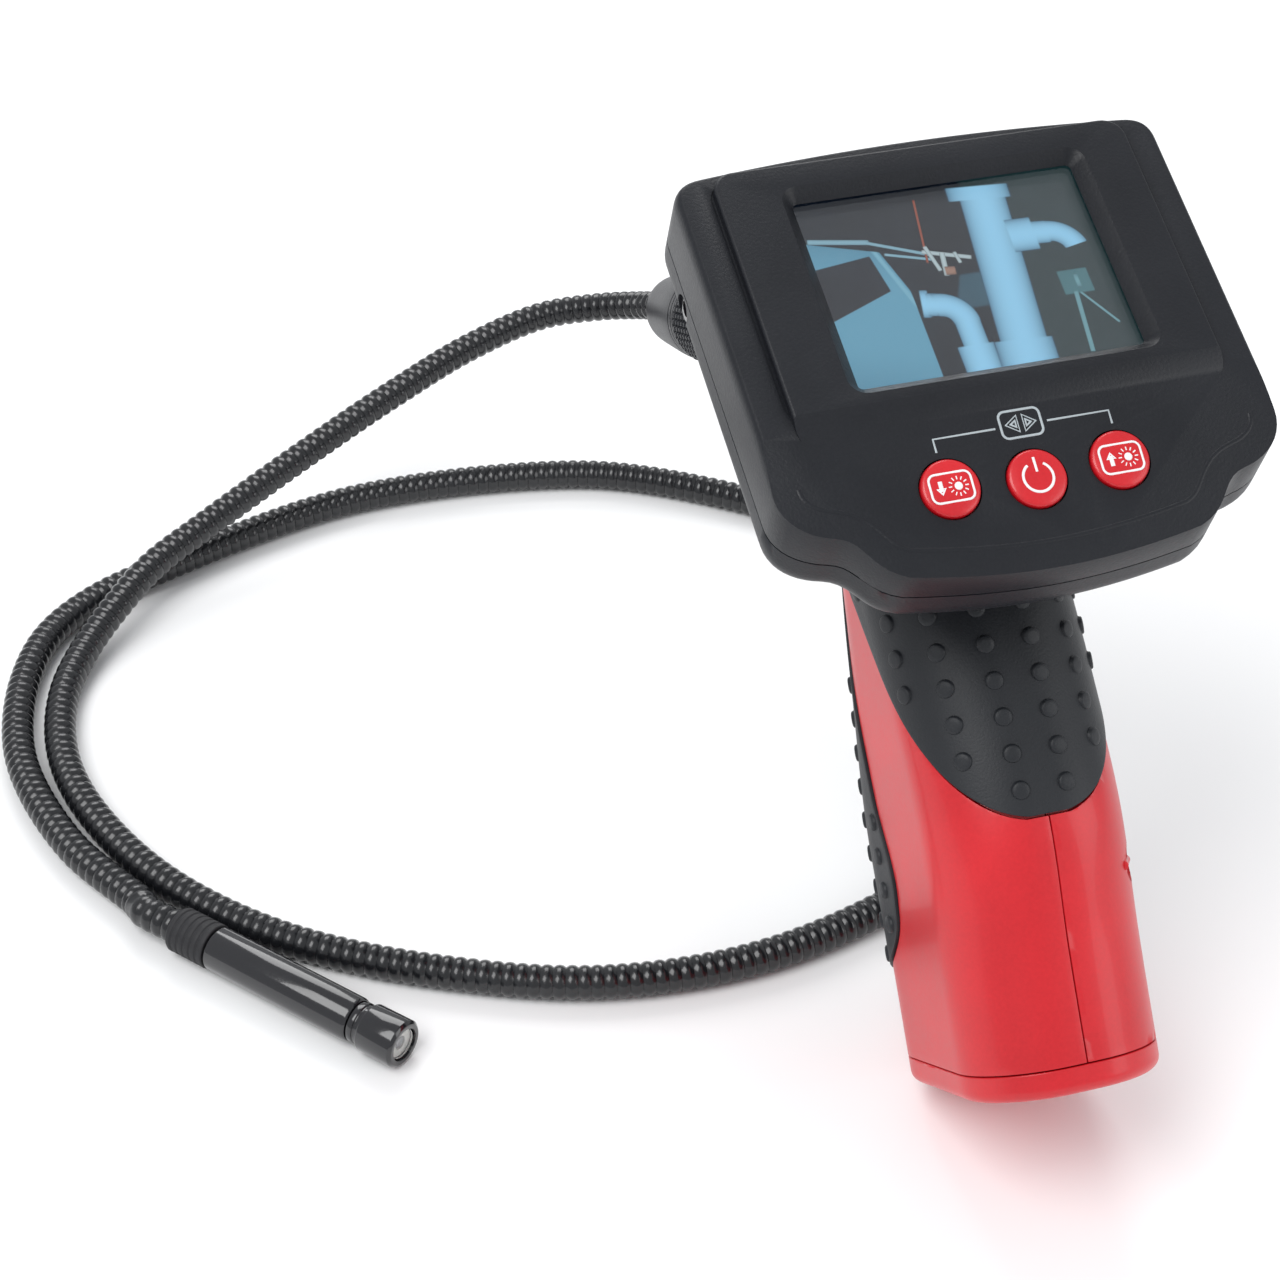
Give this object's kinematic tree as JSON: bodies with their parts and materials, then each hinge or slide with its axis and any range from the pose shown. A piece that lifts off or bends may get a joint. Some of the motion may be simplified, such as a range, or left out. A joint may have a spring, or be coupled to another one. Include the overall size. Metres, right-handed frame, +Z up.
{
  "type": "inspection camera",
  "caption": "Handheld pipe inspection camera: pistol-grip housing with a tilted colour display and keys, and a detachable gooseneck probe ending in a lit camera head.",
  "frame": {"origin": "bottom centre of the housing's box, without the probe; the housing leans back on the heel of its cap", "axes": "+X to the user's right, -Y towards the user, +Z up"},
  "size_m": [0.2303, 0.2793, 0.1632],
  "materials": {
    "black_housing": "fine satin texture",
    "red_shell": "soft gloss moulding",
    "red_key": "soft gloss with a white symbol",
    "grip_rubber": "matte with raised dots",
    "window": "clear, polished",
    "display": "lit liquid crystal panel",
    "pale_nylon": "plain moulded",
    "circuit_board": "solder mask",
    "connector_black": "gloss moulded",
    "screw_steel": "plated",
    "cell_case": "satin metal jacket",
    "tray_black": "plain moulded",
    "contact_brass": "plated",
    "harness": "plain sleeving",
    "nut_black": "ribbed satin",
    "gooseneck_skin": "ribbed satin over a coiled metal core",
    "sleeve_rubber": "matte",
    "camera_shell": "gloss black",
    "led_face": "pale ceramic"
  },
  "bodies": {
    "housing": {"head_front": "black_housing", "screen_window": "window", "lcd_panel": "display", "display_frame": "pale_nylon", "main_board": "circuit_board", "video_jack": "connector_black", "switch_dim": "connector_black", "switch_power": "connector_black", "switch_bright": "connector_black", "head_screw_1": "screw_steel", "head_screw_2": "screw_steel", "head_screw_3": "screw_steel", "head_screw_4": "screw_steel", "rear_housing": "black_housing", "handle_left": "red_shell", "handle_right": "red_shell", "front_grip": "grip_rubber", "rear_grip": "grip_rubber", "handle_screw_1": "screw_steel", "handle_screw_2": "screw_steel", "cell_tray": "tray_black", "cell_1": "cell_case", "cell_2": "cell_case", "cell_3": "cell_case", "cell_4": "cell_case", "upper_contact": "contact_brass", "power_board": "circuit_board", "probe_socket": "pale_nylon", "probe_harness": "harness"},
    "key_dim": {"key_dim": "red_key"},
    "key_power": {"key_power": "red_key"},
    "key_bright": {"key_bright": "red_key"},
    "battery_cap": {"battery_cap": "red_shell", "cap_contact": "contact_brass"},
    "probe": {"probe_connector": "nut_black", "plug_pins": "contact_brass", "gooseneck": "gooseneck_skin", "camera_sleeve": "sleeve_rubber", "camera_tube": "camera_shell", "camera_tip": "camera_shell", "lens_window": "window", "led_board": "led_face", "camera_module": "camera_shell"},
    "coupling_nut": {"coupling_nut": "nut_black"}
  },
  "joints": [
    {"name": "key_dim_press", "type": "slide", "parent": "housing", "child": "key_dim", "axis": [0, 0.5721, -0.8201], "range_m": [0, 0.0005], "stiffness_N_per_m": 1500, "springref_m": -0.0003},
    {"name": "key_power_press", "type": "slide", "parent": "housing", "child": "key_power", "axis": [0, 0.5721, -0.8201], "range_m": [0, 0.0005], "stiffness_N_per_m": 1500, "springref_m": -0.0003},
    {"name": "key_bright_press", "type": "slide", "parent": "housing", "child": "key_bright", "axis": [0, 0.5721, -0.8201], "range_m": [0, 0.0005], "stiffness_N_per_m": 1500, "springref_m": -0.0003},
    {"name": "battery_cap_slide", "type": "slide", "parent": "housing", "child": "battery_cap", "axis": [0, -0.6293, -0.7771], "range_m": [0, 0.03]},
    {"name": "probe_unplug", "type": "slide", "parent": "housing", "child": "probe", "axis": [0, 0.8949, -0.4462], "range_m": [0, 0.02]},
    {"name": "coupling_nut_turn", "type": "hinge", "parent": "probe", "child": "coupling_nut", "pos_m": [0, 0.10245, 0.06815], "axis": [0, 0.8949, -0.4462], "range_deg": [0, 540]}
  ]
}
